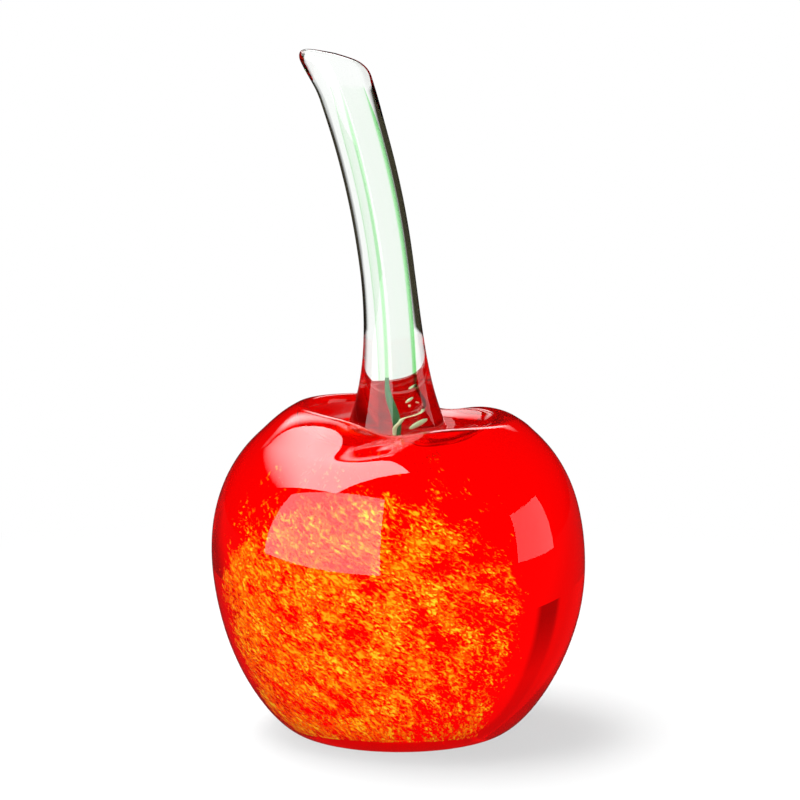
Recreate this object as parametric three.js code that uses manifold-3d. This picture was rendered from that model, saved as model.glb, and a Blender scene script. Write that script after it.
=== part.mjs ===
// Glass cherry ornament: a ruby glass fruit cased in clear glass, flecked with orange and yellow
// frit, with a bent clear stem that holds green glass threads.
// Millimetres, +Z up, origin at the centre of the ground base; the stem leans towards -X.
import * as THREE from 'three';
import { mergeVertices } from 'three/addons/utils/BufferGeometryUtils.js';
import Module from 'manifold-3d';

const wasm = await Module();
wasm.setup();

const { clamp, degToRad, smoothstep } = THREE.MathUtils;

// Fruit
const bodyDiameter = 100;
const equatorHeight = 47.3;
const baseDiameter = 53.8;
const baseEdgeRun = 6.6;
const bellyRun = 26.6;
const shoulderRun = 26.3;
const rimHeight = 86.5;
const rimSlope = degToRad(28.7);
const rimRun = 7.3;

// Rounded lip of the rim and the dimple inside it
const lipHalf = 2;
const lipDropOut = 0.36;
const lipDropIn = 1.56;
const lipPull = 1.8;
const wallLean = degToRad(12);
const wallRun = 6;
const dimpleDepth = 11;
const dimpleWallWidth = 5;
const dimpleRound = 0.8;

// Lobes: the body leans a little, the rim leans and shifts, and a cleft crosses the dimple from front to back
const bodyLean = 0.7;
const bodyLeanStart = 30;
const bodyLeanEnd = 60;
const rimLean = 1.9;
const rimLeanStart = 80;
const rimShift = 2.6;
const rimStretch = 0.9;
const cleftDepth = 2.9;
const cleftStart = 77;
const cleftHalfWidth = 9;
const cleftOffset = 3;
const cleftTurn = degToRad(15);
const cleftSwing = 1;

// Layers of the fruit, from the outside in
const casingWall = 5;
const veilThickness = 0.5;
const neckDiameter = 24;
const baseRecess = 0.4;
const seam = 0.3;

// Caps of frit: the way they face, and how far each spreads round the fruit
const veilTurn = degToRad(-12);
const veilDip = degToRad(-20);
const orangeSpread = degToRad(62);
const yellowSpread = degToRad(55);
const veilFootHeight = 9;

// Stem
const stemDiameter = 14.4;
const stemOffset = -0.9;
const stemTipHeight = 181.3;
const stemLean = 16.3;
const stemUprightRun = 54.2;
const stemTipRun = 31.9;
const stemTipAngle = degToRad(17.9);
const footDiameter = 33;
const footMargin = 5;
const footHeight = 47.4;
const footToeRise = 12;
const footToeRun = 6.2;
const footWaistHeight = 21.4;
const footWaistFlare = 0.4;
const lipDiameter = 14.9;
const lipRun = 23.9;
const lipRound = 3.9;
const lipFlare = 1.7;
const lipFlareRun = 12.8;
const lipFlareEnd = 2.8;
const tipShear = degToRad(34);
const tipShearRun = 25.4;
const tipPinch = 0.3;
const tipPinchRun = 16;

// Green threads and the rod that they lie on
const stemCoreDiameter = 5.2;
const caneDiameter = 1.4;
const caneTwist = degToRad(35);
const caneAngles = { left: degToRad(-165), middle: degToRad(-120), right: degToRad(10) };
const boreEndDepth = 9;
const boreEndRound = 2;

// Facets
const bodySegments = 40;
const bodyCurveSteps = 9;
const lipSteps = 4;
const wallSteps = 3;
const stemSegments = 24;
const coreSegments = 16;
const caneSides = 8;
const caneSteps = 20;
const stemStep = 8;
const curveSteps = 5;
const weld = 1e-4;
const foldShare = 0.02;
const far = 4 * bodyDiameter;

// Heights and radii that follow from the sizes above
const bodyRadius = bodyDiameter / 2;
const baseRadius = baseDiameter / 2;
const footRadius = footDiameter / 2;
const dimpleRadius = footRadius + footMargin;
const rimRadius = dimpleRadius + dimpleWallWidth;
const seatHeight = rimHeight - dimpleDepth;
const stemRadius = stemDiameter / 2;
const stemCoreRadius = stemCoreDiameter / 2;
const caneRadius = caneDiameter / 2;
const caneRing = stemCoreRadius + seam + caneRadius;
const boreRadius = caneRing + caneRadius + seam;
const orangeDepth = casingWall + seam;
const yellowDepth = orangeDepth + veilThickness + seam;

const v2 = (x, y) => new THREE.Vector2(x, y);

// Half of the fruit's outline, from the middle of the base, over the rim, to the middle of the dimple
function fruitOutline() {
  const belly = new THREE.CubicBezierCurve(
    v2(baseRadius, 0),
    v2(baseRadius + baseEdgeRun, 0),
    v2(bodyRadius, equatorHeight - bellyRun),
    v2(bodyRadius, equatorHeight),
  );
  const lipOuter = v2(rimRadius + lipHalf, rimHeight - lipDropOut);
  const lipInner = v2(rimRadius - lipHalf, rimHeight - lipDropIn);
  const climb = v2(-Math.cos(rimSlope), Math.sin(rimSlope));
  const fall = v2(-Math.sin(wallLean), -Math.cos(wallLean));
  const shoulder = new THREE.CubicBezierCurve(
    v2(bodyRadius, equatorHeight),
    v2(bodyRadius, equatorHeight + shoulderRun),
    lipOuter.clone().addScaledVector(climb, -rimRun),
    lipOuter,
  );
  const lip = new THREE.CubicBezierCurve(
    lipOuter,
    lipOuter.clone().addScaledVector(climb, lipPull),
    lipInner.clone().addScaledVector(fall, -lipPull),
    lipInner,
  );
  const wall = new THREE.CubicBezierCurve(
    lipInner,
    lipInner.clone().addScaledVector(fall, wallRun),
    v2(dimpleRadius + dimpleRound, seatHeight),
    v2(dimpleRadius, seatHeight),
  );
  return [
    v2(0, 0),
    ...belly.getPoints(bodyCurveSteps),
    ...shoulder.getPoints(bodyCurveSteps).slice(1),
    ...lip.getPoints(lipSteps).slice(1),
    ...wall.getPoints(wallSteps).slice(1),
    v2(0, seatHeight),
  ];
}

// The outline moved inwards by a depth, less the points that would fold over at a tight bend
function inset(outline, depth) {
  const last = outline.length - 1;
  const moved = outline.map((point, i) => {
    const along = outline[Math.min(i + 1, last)].clone().sub(outline[Math.max(i - 1, 0)]).normalize();
    const onAxis = i === 0 || i === last;
    if (onAxis) return v2(0, point.y + Math.sign(along.x) * depth);
    return v2(point.x - along.y * depth, point.y + along.x * depth);
  });
  const foldMargin = foldShare * depth;
  return moved.filter((point) => outline.every((other) => point.distanceTo(other) > depth - foldMargin));
}

// A closed mesh with shared vertices and no empty triangles
function welded(geometry) {
  const bare = geometry.clone();
  bare.deleteAttribute('normal');
  bare.deleteAttribute('uv');
  const merged = mergeVertices(bare, weld);
  const index = merged.index.array;
  const kept = [];
  for (let i = 0; i < index.length; i += 3) {
    const [a, b, c] = index.slice(i, i + 3);
    if (a !== b && b !== c && c !== a) kept.push(a, b, c);
  }
  merged.setIndex(kept);
  return merged;
}

// A profile of radius and height turned about the Z axis
function turned(profile, segments) {
  const lathe = new THREE.LatheGeometry(profile, segments);
  lathe.rotateX(Math.PI / 2);
  return welded(lathe);
}

// Moves every vertex of a mesh by a function of its place
function reshaped(geometry, move) {
  const place = geometry.attributes.position;
  const point = new THREE.Vector3();
  for (let i = 0; i < place.count; i += 1) {
    point.fromBufferAttribute(place, i);
    move(point);
    place.setXYZ(i, point.x, point.y, point.z);
  }
  return geometry;
}

// Leans the body, shifts and leans the rim, and presses the cleft that parts the two lobes
function pressLobes(point) {
  const { x, y, z } = point;
  const reach = smoothstep(Math.hypot(x, y), dimpleRadius, rimRadius);
  const upper = smoothstep(z, rimLeanStart, rimHeight);
  const cleftMiddle = cleftOffset - cleftSwing * Math.max(rimHeight - z, 0);
  const across = (x - cleftMiddle) * Math.cos(cleftTurn) - y * Math.sin(cleftTurn);
  const cleft = cleftDepth * smoothstep(z, cleftStart, rimHeight);
  const drop = (rimLean * upper * x) / rimRadius + cleft * Math.exp(-((across / cleftHalfWidth) ** 2));
  const shift = upper * (rimShift + (rimStretch * x) / rimRadius);
  point.z -= reach * drop;
  point.x += reach * shift - bodyLean * smoothstep(z, bodyLeanStart, bodyLeanEnd);
}

function toSolid(geometry) {
  const mesh = welded(geometry);
  return new wasm.Manifold(
    new wasm.Mesh({
      numProp: 3,
      vertProperties: Float32Array.from(mesh.attributes.position.array),
      triVerts: Uint32Array.from(mesh.index.array),
    }),
  );
}

function toGeometry(solid) {
  const mesh = solid.getMesh();
  const geometry = new THREE.BufferGeometry();
  geometry.setAttribute('position', new THREE.BufferAttribute(Float32Array.from(mesh.vertProperties), 3));
  geometry.setIndex(new THREE.BufferAttribute(Uint32Array.from(mesh.triVerts), 1));
  return geometry;
}

// The whole fruit less a skin of the given depth
const outline = fruitOutline();
function fruit(depth) {
  return toSolid(reshaped(turned(depth > 0 ? inset(outline, depth) : outline, bodySegments), pressLobes));
}

// A round plug on the axis between two heights
function plug(radius, low, high) {
  const cylinder = new THREE.CylinderGeometry(radius, radius, high - low, bodySegments);
  cylinder.rotateX(Math.PI / 2);
  cylinder.translate(0, 0, (low + high) / 2);
  return toSolid(cylinder);
}

// The space that holds one cap of frit, clear of the base and grown by a margin
function capSpace(spread, margin) {
  const facing = new THREE.Vector3(
    Math.sin(veilTurn) * Math.cos(veilDip),
    -Math.cos(veilTurn) * Math.cos(veilDip),
    Math.sin(veilDip),
  );
  const cutHeight = (bodyRadius - casingWall) * Math.cos(spread) - margin;
  const block = new THREE.BoxGeometry(far, far, far);
  block.translate(0, 0, far / 2 + cutHeight);
  block.applyQuaternion(new THREE.Quaternion().setFromUnitVectors(new THREE.Vector3(0, 0, 1), facing));
  block.translate(0, 0, equatorHeight);
  const aboveBase = new THREE.BoxGeometry(far, far, far);
  aboveBase.translate(0, 0, far / 2 + veilFootHeight - margin);
  return toSolid(block).intersect(toSolid(aboveBase));
}

// A cap of the fruit between two depths
function capLayer(outerDepth, innerDepth, spread, margin) {
  return fruit(outerDepth).subtract(fruit(innerDepth)).intersect(capSpace(spread, margin));
}

function clearCasing() {
  const neckHole = plug(neckDiameter / 2, -seam, casingWall + seam);
  return toGeometry(fruit(0).subtract(fruit(casingWall)).subtract(neckHole));
}

function rubyCore() {
  const neck = plug(neckDiameter / 2 - seam, baseRecess, casingWall + 2 * seam);
  const orangePocket = capLayer(casingWall, orangeDepth + veilThickness + seam, orangeSpread, seam);
  const yellowPocket = capLayer(casingWall, yellowDepth + veilThickness + seam, yellowSpread, seam);
  return toGeometry(fruit(orangeDepth).subtract(orangePocket).subtract(yellowPocket).add(neck));
}

function fritVeil(depth, spread) {
  return toGeometry(capLayer(depth, depth + veilThickness, spread, 0));
}

// The line through the middle of the stem, upright at the foot and leaning at the tip
const foot = new THREE.Vector3(stemOffset, 0, seatHeight + seam);
const tip = new THREE.Vector3(stemOffset - stemLean, 0, stemTipHeight);
const tipBack = new THREE.Vector3(Math.sin(stemTipAngle), 0, -Math.cos(stemTipAngle));
const stemAxis = new THREE.CubicBezierCurve3(
  foot,
  foot.clone().add(new THREE.Vector3(0, 0, stemUprightRun)),
  tip.clone().addScaledVector(tipBack, stemTipRun),
  tip,
);
const stemLength = stemAxis.getLength();
const boreEnd = stemLength - boreEndDepth;

// Shears the end of a straight stem, flares its long side and pinches it, then bends the stem along its axis
function bendStem(point) {
  const shear = Math.tan(tipShear) * smoothstep(point.z, stemLength - tipShearRun, stemLength);
  const flare = lipFlare * smoothstep(point.z, stemLength - lipFlareRun, stemLength - lipFlareEnd);
  const pinch = tipPinch * smoothstep(point.z, stemLength - tipPinchRun, stemLength);
  const along = point.z - shear * point.x;
  const across = point.x + (flare * Math.min(point.x, 0)) / stemRadius;
  const deep = point.y * (1 - pinch);
  const share = clamp(along / stemLength, 0, 1);
  const tangent = stemAxis.getTangentAt(share);
  const side = new THREE.Vector3(tangent.z, 0, -tangent.x);
  const beyond = along - share * stemLength;
  point.copy(stemAxis.getPointAt(share)).addScaledVector(side, across).addScaledVector(tangent, beyond);
  point.y += deep;
}

// Points from one height to another at a radius, close enough for the bend
function upright(radius, from, to) {
  const steps = Math.max(1, Math.round(Math.abs(to - from) / stemStep));
  return Array.from({ length: steps + 1 }, (_, i) => v2(radius, from + ((to - from) * i) / steps));
}

// A round end that closes on the axis
function roundEnd(radius, round, top) {
  const corner = new THREE.QuadraticBezierCurve(
    v2(radius, top - round),
    v2(radius, top),
    v2(radius - round, top),
  );
  return [...corner.getPoints(curveSteps), v2(0, top)];
}

function stemCasing() {
  const flare = new THREE.CubicBezierCurve(
    v2(footRadius, 0),
    v2(footRadius - footToeRun, footToeRise),
    v2(stemRadius + footWaistFlare, footWaistHeight),
    v2(stemRadius, footHeight),
  );
  const lipRadius = lipDiameter / 2;
  const lipFoot = stemLength - lipRound;
  const lip = new THREE.CubicBezierCurve(
    v2(stemRadius, lipFoot - lipRun),
    v2(stemRadius, lipFoot - lipRun / 2),
    v2(lipRadius, lipFoot - lipRun / 2),
    v2(lipRadius, lipFoot),
  );
  const bore = [
    ...upright(boreRadius, 0, boreEnd - boreEndRound).slice(0, -1),
    ...roundEnd(boreRadius, boreEndRound, boreEnd),
  ];
  const profile = [
    ...bore.reverse(),
    ...flare.getPoints(2 * curveSteps),
    ...upright(stemRadius, footHeight, lipFoot - lipRun).slice(1, -1),
    ...lip.getPoints(curveSteps),
    ...roundEnd(lipRadius, lipRound, stemLength).slice(1),
  ];
  return reshaped(turned(profile, stemSegments), bendStem);
}

function stemCore() {
  const top = boreEnd - seam;
  const profile = [
    v2(0, 0),
    ...upright(stemCoreRadius, 0, top - stemCoreRadius / 2).slice(0, -1),
    ...roundEnd(stemCoreRadius, stemCoreRadius / 2, top),
  ];
  return reshaped(turned(profile, coreSegments), bendStem);
}

// A thread that winds a little way round the stem core
function greenCane(start) {
  const section = new THREE.Shape().absarc(0, 0, caneRadius, 0, 2 * Math.PI);
  const top = boreEnd - boreEndRound - seam;
  const places = Array.from({ length: caneSteps + 1 }, (_, i) => {
    const share = i / caneSteps;
    const angle = start + caneTwist * share;
    return new THREE.Vector3(caneRing * Math.cos(angle), caneRing * Math.sin(angle), top * share);
  });
  const thread = new THREE.ExtrudeGeometry(section, {
    curveSegments: caneSides / 2,
    steps: caneSteps,
    bevelEnabled: false,
    extrudePath: new THREE.CatmullRomCurve3(places),
  });
  return reshaped(welded(thread), bendStem);
}

const finishes = {
  clear: { color: 0xf3fbf6, roughness: 0.02, metalness: 0, transparent: true, opacity: 0.35 },
  ruby: { color: 0xe4000a, roughness: 0.05, metalness: 0 },
  orange: { color: 0xff6a00, roughness: 0.3, metalness: 0 },
  yellow: { color: 0xffb41e, roughness: 0.3, metalness: 0 },
  green: { color: 0x27b04c, roughness: 0.05, metalness: 0 },
};

const cherry = new THREE.Group();
function place(name, geometry, finish) {
  const mesh = new THREE.Mesh(geometry, new THREE.MeshStandardMaterial(finishes[finish]));
  mesh.name = name;
  cherry.add(mesh);
}

place('clear_casing', clearCasing(), 'clear');
place('ruby_core', rubyCore(), 'ruby');
place('orange_frit_veil', fritVeil(orangeDepth, orangeSpread), 'orange');
place('yellow_frit_veil', fritVeil(yellowDepth, yellowSpread), 'yellow');
place('stem_casing', stemCasing(), 'clear');
place('stem_core', stemCore(), 'clear');
for (const [side, start] of Object.entries(caneAngles)) {
  place(`green_cane_${side}`, greenCane(start), 'green');
}

export default cherry;
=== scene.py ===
"""Looks of a hand-worked glass cherry: ruby fruit in clear casing, orange and yellow frit, bent stem.

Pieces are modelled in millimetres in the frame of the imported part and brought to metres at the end.
"""

from __future__ import annotations

import logging
import math
from dataclasses import dataclass, field
from enum import Enum
from typing import Protocol

import bmesh
import bpy
from mathutils import Matrix, Vector
from mathutils.geometry import interpolate_bezier

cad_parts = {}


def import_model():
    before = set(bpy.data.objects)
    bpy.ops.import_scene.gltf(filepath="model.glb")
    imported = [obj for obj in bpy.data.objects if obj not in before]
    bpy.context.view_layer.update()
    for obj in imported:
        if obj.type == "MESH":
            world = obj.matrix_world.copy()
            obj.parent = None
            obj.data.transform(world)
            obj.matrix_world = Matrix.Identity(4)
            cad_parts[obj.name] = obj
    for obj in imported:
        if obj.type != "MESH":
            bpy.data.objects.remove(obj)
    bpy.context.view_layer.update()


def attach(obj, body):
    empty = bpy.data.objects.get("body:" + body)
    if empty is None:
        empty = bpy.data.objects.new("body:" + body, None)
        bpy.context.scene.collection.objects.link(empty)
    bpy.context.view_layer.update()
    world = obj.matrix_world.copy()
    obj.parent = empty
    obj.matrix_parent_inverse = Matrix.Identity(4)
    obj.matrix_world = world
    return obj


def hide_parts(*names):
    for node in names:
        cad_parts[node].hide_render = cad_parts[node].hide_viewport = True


LOG = logging.getLogger("glass_cherry")
METRES_PER_MM = 0.001
WELD_MM = 1e-4
BODY = "root"
WHITE = "FFFFFF"
FULL_TURN = 2 * math.pi

# The sRGB curve: its largest byte, its knee, the slope below it, and the offset and power above it.
BYTE_TOP = 255
SRGB_KNEE = 0.04045
SRGB_SLOPE = 12.92
SRGB_OFFSET = 0.055
SRGB_POWER = 2.4

# Inputs of a Mix node by number: its share, its two numbers, its two colours. Its colour is output 2.
SHARE = 0
FIRST, SECOND = 2, 3
FIRST_COLOUR, SECOND_COLOUR = 6, 7
MIXED_COLOUR = 2

# Glass that is fused into other glass has no polished face of its own, and light isn't bent there.
FUSED_IOR = 1.0
FUSED_ROUGHNESS = 0.6

# Material number of the faces that have a piece's second finish.
SECOND_FINISH = 1

Colour = tuple[float, float, float, float]
Place = tuple[float, float, float]
Tree = bpy.types.NodeTree

# What a link starts from. A node stands for its first output.
Source = bpy.types.Node | bpy.types.NodeSocket


class Slot(Enum):
    """Material slots of the record."""

    CLEAR = "clear_glass"
    RUBY = "ruby_glass"
    ORANGE = "orange_glass"
    YELLOW = "yellow_glass"
    GREEN = "green_glass"


class Finish(Protocol):
    """What every finish has."""

    def material(self) -> bpy.types.Material:
        """Builds the material."""


def linear(hex_code: str) -> Colour:
    """Turns an sRGB hex value to linear colour.

    Args:
        hex_code: six hex digits.

    Returns:
        Linear red, green and blue with full alpha.
    """
    channels = []
    for byte in bytes.fromhex(hex_code):
        share = byte / BYTE_TOP
        if share <= SRGB_KNEE:
            channels.append(share / SRGB_SLOPE)
        else:
            channels.append(((share + SRGB_OFFSET) / (1 + SRGB_OFFSET)) ** SRGB_POWER)
    return (*channels, 1.0)


def smoothstep(value: float, low: float, high: float) -> float:
    """Rises smoothly from 0 at low to 1 at high."""
    share = min(max((value - low) / (high - low), 0.0), 1.0)
    return share * share * (3 - 2 * share)


def add_node(tree: Tree, kind: str, inputs: dict | None = None, **settings: object) -> bpy.types.Node:
    """Adds one shader node with its settings and links.

    Args:
        tree: node tree that takes the node.
        kind: Blender's name of the node type, without the words that all of them start with.
        inputs: values, or what to link, by the name or number of the input.
        **settings: attributes to set on the node first.

    Returns:
        The new node.
    """
    node = tree.nodes.new(f"ShaderNode{kind}")
    for name, value in settings.items():
        setattr(node, name, value)
    for key, value in (inputs or {}).items():
        source = value.outputs[0] if isinstance(value, bpy.types.Node) else value
        if isinstance(source, bpy.types.NodeSocket):
            tree.links.new(source, node.inputs[key])
        else:
            node.inputs[key].default_value = source
    return node


def blank_material(name: str) -> bpy.types.Material:
    """Makes a node material with nothing in it.

    Args:
        name: name of the material.

    Returns:
        The material.
    """
    material = bpy.data.materials.new(name)
    material.use_nodes = True
    material.node_tree.nodes.clear()
    return material


def curve(*points: tuple[float, float], steps: int) -> list[Vector]:
    """Samples a cubic curve of radius and height.

    Args:
        *points: first knot, its handle, the second handle and the last knot.
        steps: number of stretches between the samples.

    Returns:
        Points in the X-Z plane, both ends among them.
    """
    knots = [Vector((radius, 0.0, height)) for radius, height in points]
    return interpolate_bezier(*knots, steps + 1)


def straight(start: tuple[float, float], end: tuple[float, float], steps: int) -> list[Vector]:
    """Samples a straight stretch of radius and height, both ends among the points."""
    first, last = Vector((start[0], 0.0, start[1])), Vector((end[0], 0.0, end[1]))
    return [first.lerp(last, i / steps) for i in range(steps + 1)]


def joined(*stretches: list[Vector]) -> list[Vector]:
    """Joins stretches of an outline, without the points that two of them share.

    Args:
        *stretches: stretches in order, each starting where the one before it ends.

    Returns:
        The whole outline.
    """
    outline = list(stretches[0])
    for stretch in stretches[1:]:
        outline.extend(point for point in stretch if (point - outline[-1]).length > WELD_MM)
    return outline


def turned(outline: list[Vector], steps: int, sweep: float = FULL_TURN) -> bmesh.types.BMesh:
    """Spins an outline about the Z axis.

    Args:
        outline: points in a plane through the axis.
        steps: segments of the spin.
        sweep: angle of the spin; a full turn closes on itself.

    Returns:
        Mesh with its doubles merged and its faces pointing outwards.
    """
    mesh = bmesh.new()
    verts = [mesh.verts.new(point) for point in outline]
    edges = [mesh.edges.new(pair) for pair in zip(verts, verts[1:])]
    bmesh.ops.spin(mesh, geom=verts + edges, cent=(0, 0, 0), axis=(0, 0, 1), angle=sweep, steps=steps,
                   use_merge=math.isclose(sweep, FULL_TURN))
    bmesh.ops.remove_doubles(mesh, verts=mesh.verts, dist=WELD_MM)
    bmesh.ops.recalc_face_normals(mesh, faces=mesh.faces)
    return mesh


def paint_second(shape: dict) -> None:
    """Gives the faces of a shape that bmesh just made the second finish of their piece."""
    for face in {face for vert in shape["verts"] for face in vert.link_faces}:
        face.material_index = SECOND_FINISH


def place_piece(name: str, mesh: bmesh.types.BMesh, finishes: tuple[Finish, ...],
                node: str) -> bpy.types.Object:
    """Makes a piece of the part from a mesh in millimetres.

    Args:
        name: name of the piece.
        mesh: its mesh, which is freed here.
        finishes: its finishes, in the order of its faces' material numbers.
        node: node of the frame that the piece stands for.

    Returns:
        The piece, riding on its body.
    """
    bmesh.ops.scale(mesh, vec=(METRES_PER_MM,) * 3, verts=mesh.verts)
    for face in mesh.faces:
        face.smooth = True
    data = bpy.data.meshes.new(name)
    mesh.to_mesh(data)
    mesh.free()
    for finish in finishes:
        data.materials.append(finish.material())
    piece = bpy.data.objects.new(name, data)
    bpy.context.scene.collection.objects.link(piece)
    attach(piece, BODY)
    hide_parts(node)
    piece.visible_diffuse = False
    return piece


@dataclass(frozen=True)
class ClearGlass:
    """Fire-polished soda-lime glass: colourless, mirror-smooth, with bright sharp reflections.

    Where the mesh has a painted shade mask, the glass darkens towards the painted edge shade as it turns away
    from the eye; this is painted shade, not a colour of the glass. The mask is added to how far it turns
    away, so a low mask keeps it clear and a high one shades it all over.
    """

    name: str = "clear_soda_lime_glass"
    ior: float = 1.5
    tint: str = "FDFFFE"
    shadow_tint: str = "D4D4D4"
    depth_colour: str = WHITE
    density_per_m: float = 0.0
    # Mask and colour of the painted shade that darkens the edges of the glass.
    painted_shade_mask: str = ""
    painted_edge_shade: str = "0A0803"
    edge_start: float = 0.38
    edge_end: float = 0.6

    def paint_edge_shade(self, tree: Tree) -> Source:
        """Adds the nodes for painted shade: the dark lines at the edges of a glass rod, and the deeper red in
        a hollow.

        Args:
            tree: node tree of the material.

        Returns:
            Colour of the glass, with the painted shade in it.
        """
        facing = add_node(tree, "LayerWeight")
        mask = add_node(tree, "Attribute", attribute_name=self.painted_shade_mask)
        turned_away = add_node(tree, "Math", {0: facing.outputs["Facing"], 1: mask.outputs["Fac"]})
        limb = add_node(tree, "MapRange", {
            "Value": turned_away, "From Min": self.edge_start, "From Max": self.edge_end,
        }, interpolation_type="SMOOTHSTEP")
        return add_node(tree, "Mix", {
            SHARE: limb,
            FIRST_COLOUR: linear(self.tint),
            SECOND_COLOUR: linear(self.painted_edge_shade),
        }, data_type="RGBA").outputs[MIXED_COLOUR]

    def material(self) -> bpy.types.Material:
        """Builds the material: clear glass that lets the lamps through to what it encloses.

        Returns:
            The material.
        """
        material = blank_material(self.name)
        tree = material.node_tree
        # Where a mask is set, the colour of the glass carries painted shade towards its edges.
        glass = add_node(tree, "BsdfPrincipled", {
            "Base Color": self.paint_edge_shade(tree) if self.painted_shade_mask else linear(self.tint),
            "Roughness": 0.0,
            "IOR": self.ior,
            "Transmission Weight": 1.0,
        })
        open_way = add_node(tree, "BsdfTransparent", {"Color": linear(self.shadow_tint)})
        path = add_node(tree, "LightPath")
        mixed = add_node(tree, "MixShader", {0: path.outputs["Is Shadow Ray"], 1: glass, 2: open_way})
        ends = {"Surface": mixed}
        if self.density_per_m > 0:
            ends["Volume"] = add_node(tree, "VolumeAbsorption", {
                "Color": linear(self.depth_colour),
                "Density": self.density_per_m,
            })
        add_node(tree, "OutputMaterial", ends)
        return material


@dataclass(frozen=True)
class TintedGlass:
    """Coloured glass fused inside clear glass: its faces don't show, its depth gives the colour."""

    name: str
    colour: str
    density_per_m: float

    def material(self) -> bpy.types.Material:
        """Builds the material: no bend at the faces, colour from the way through the glass.

        Returns:
            The material.
        """
        material = blank_material(self.name)
        tree = material.node_tree
        face = add_node(tree, "BsdfPrincipled", {
            "Base Color": linear(WHITE),
            "Roughness": 0.0,
            "IOR": FUSED_IOR,
            "Transmission Weight": 1.0,
        })
        depth = add_node(tree, "VolumeAbsorption", {
            "Color": linear(self.colour),
            "Density": self.density_per_m,
        })
        add_node(tree, "OutputMaterial", {"Surface": face, "Volume": depth})
        return material


@dataclass(frozen=True)
class FritVeil:
    """Crushed opaque glass, rolled into the hot core and drawn out: a slanting net of soft flecks.

    Flecks, clumps of them and the cover of the mesh add up to how thick the frit lies. It shows from the
    thickness show on, and has its deep colour at the thickness full.
    """

    name: str
    shallow: str
    middle: str
    deep: str
    fleck_width_mm: float
    fleck_stretch: float
    seed: float
    show: float
    full: float
    edge: float = 0.04
    detail: float = 3.0
    roughness: float = 0.55
    distortion: float = 0.6
    clump_mm: float = 5.0
    clump_squeeze: float = 0.6
    clump_low: float = 0.3
    clump_high: float = 0.7
    clump_thin: float = -0.18
    clump_thick: float = 0.14
    bare: float = -0.55

    def pattern(self, tree: Tree, cells: tuple[float, float], seed: float, looks: dict[str, float]) -> Source:
        """Adds the nodes for a noise that runs along the swirl of the mesh.

        Args:
            tree: node tree of the material.
            cells: cells of the noise in a millimetre, along the swirl and across it.
            seed: which part of the noise shows.
            looks: other inputs of the noise by name.

        Returns:
            Height of the noise, from 0 to 1.
        """
        swirl = add_node(tree, "UVMap", uv_map=Fruit.SWIRL)
        place = add_node(tree, "Mapping", {
            "Vector": swirl,
            "Scale": (*cells, 1.0),
            "Location": (seed, -seed, 0.0),
        })
        noise = add_node(tree, "TexNoise", {
            "Vector": place, "Scale": 1.0, **looks,
        }, noise_dimensions="2D")
        return noise.outputs["Fac"]

    def thickness(self, tree: Tree) -> Source:
        """Adds the nodes for how thick the frit lies.

        Args:
            tree: node tree of the material.

        Returns:
            Thickness, which show and full are measured in.
        """
        fleck_cells = (1 / (self.fleck_width_mm * self.fleck_stretch), 1 / self.fleck_width_mm)
        fleck = self.pattern(tree, fleck_cells, self.seed, {
            "Detail": self.detail, "Roughness": self.roughness, "Distortion": self.distortion,
        })
        clump = self.pattern(tree, (self.clump_squeeze / self.clump_mm, 1 / self.clump_mm), -self.seed, {})
        cover = add_node(tree, "Attribute", attribute_name=Fruit.COVER)
        clump_lift = add_node(tree, "MapRange", {
            "Value": clump,
            "From Min": self.clump_low, "From Max": self.clump_high,
            "To Min": self.clump_thin, "To Max": self.clump_thick,
        })
        cover_lift = add_node(tree, "MapRange", {
            "Value": cover.outputs["Fac"], "To Min": self.bare, "To Max": 0.0,
        })
        lift = add_node(tree, "Math", {0: clump_lift, 1: cover_lift})
        return add_node(tree, "Math", {0: fleck, 1: lift})

    def material(self) -> bpy.types.Material:
        """Builds the material: flecks that are red where they are thin, and paler where they are thick.

        Returns:
            The material.
        """
        material = blank_material(self.name)
        tree = material.node_tree
        thickness = self.thickness(tree)
        alpha = add_node(tree, "MapRange", {
            "Value": thickness, "From Min": self.show - self.edge, "From Max": self.show + self.edge,
        }, interpolation_type="SMOOTHSTEP")
        shade = add_node(tree, "ValToRGB", {"Fac": thickness})
        first, last = shade.color_ramp.elements
        first.position, first.color = self.show, linear(self.shallow)
        last.position, last.color = self.full, linear(self.deep)
        shade.color_ramp.elements.new((self.show + self.full) / 2).color = linear(self.middle)
        frit = add_node(tree, "BsdfPrincipled", {
            "Base Color": shade,
            "Roughness": FUSED_ROUGHNESS,
            "IOR": FUSED_IOR,
            "Alpha": alpha,
        })
        add_node(tree, "OutputMaterial", {"Surface": frit})
        return material


@dataclass(frozen=True)
class Enamel:
    """Milky green glass, thick where the thread coils in the foot: pale, matt and not see-through."""

    name: str = "milky_green_glass"
    colour: str = "E6FFC8"

    def material(self) -> bpy.types.Material:
        """Builds the material: an even, matt colour without a face of its own in the clear glass.

        Returns:
            The material.
        """
        material = blank_material(self.name)
        tree = material.node_tree
        milk = add_node(tree, "BsdfPrincipled", {
            "Base Color": linear(self.colour),
            "Roughness": FUSED_ROUGHNESS,
            "IOR": FUSED_IOR,
        })
        add_node(tree, "OutputMaterial", {"Surface": milk})
        return material


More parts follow.
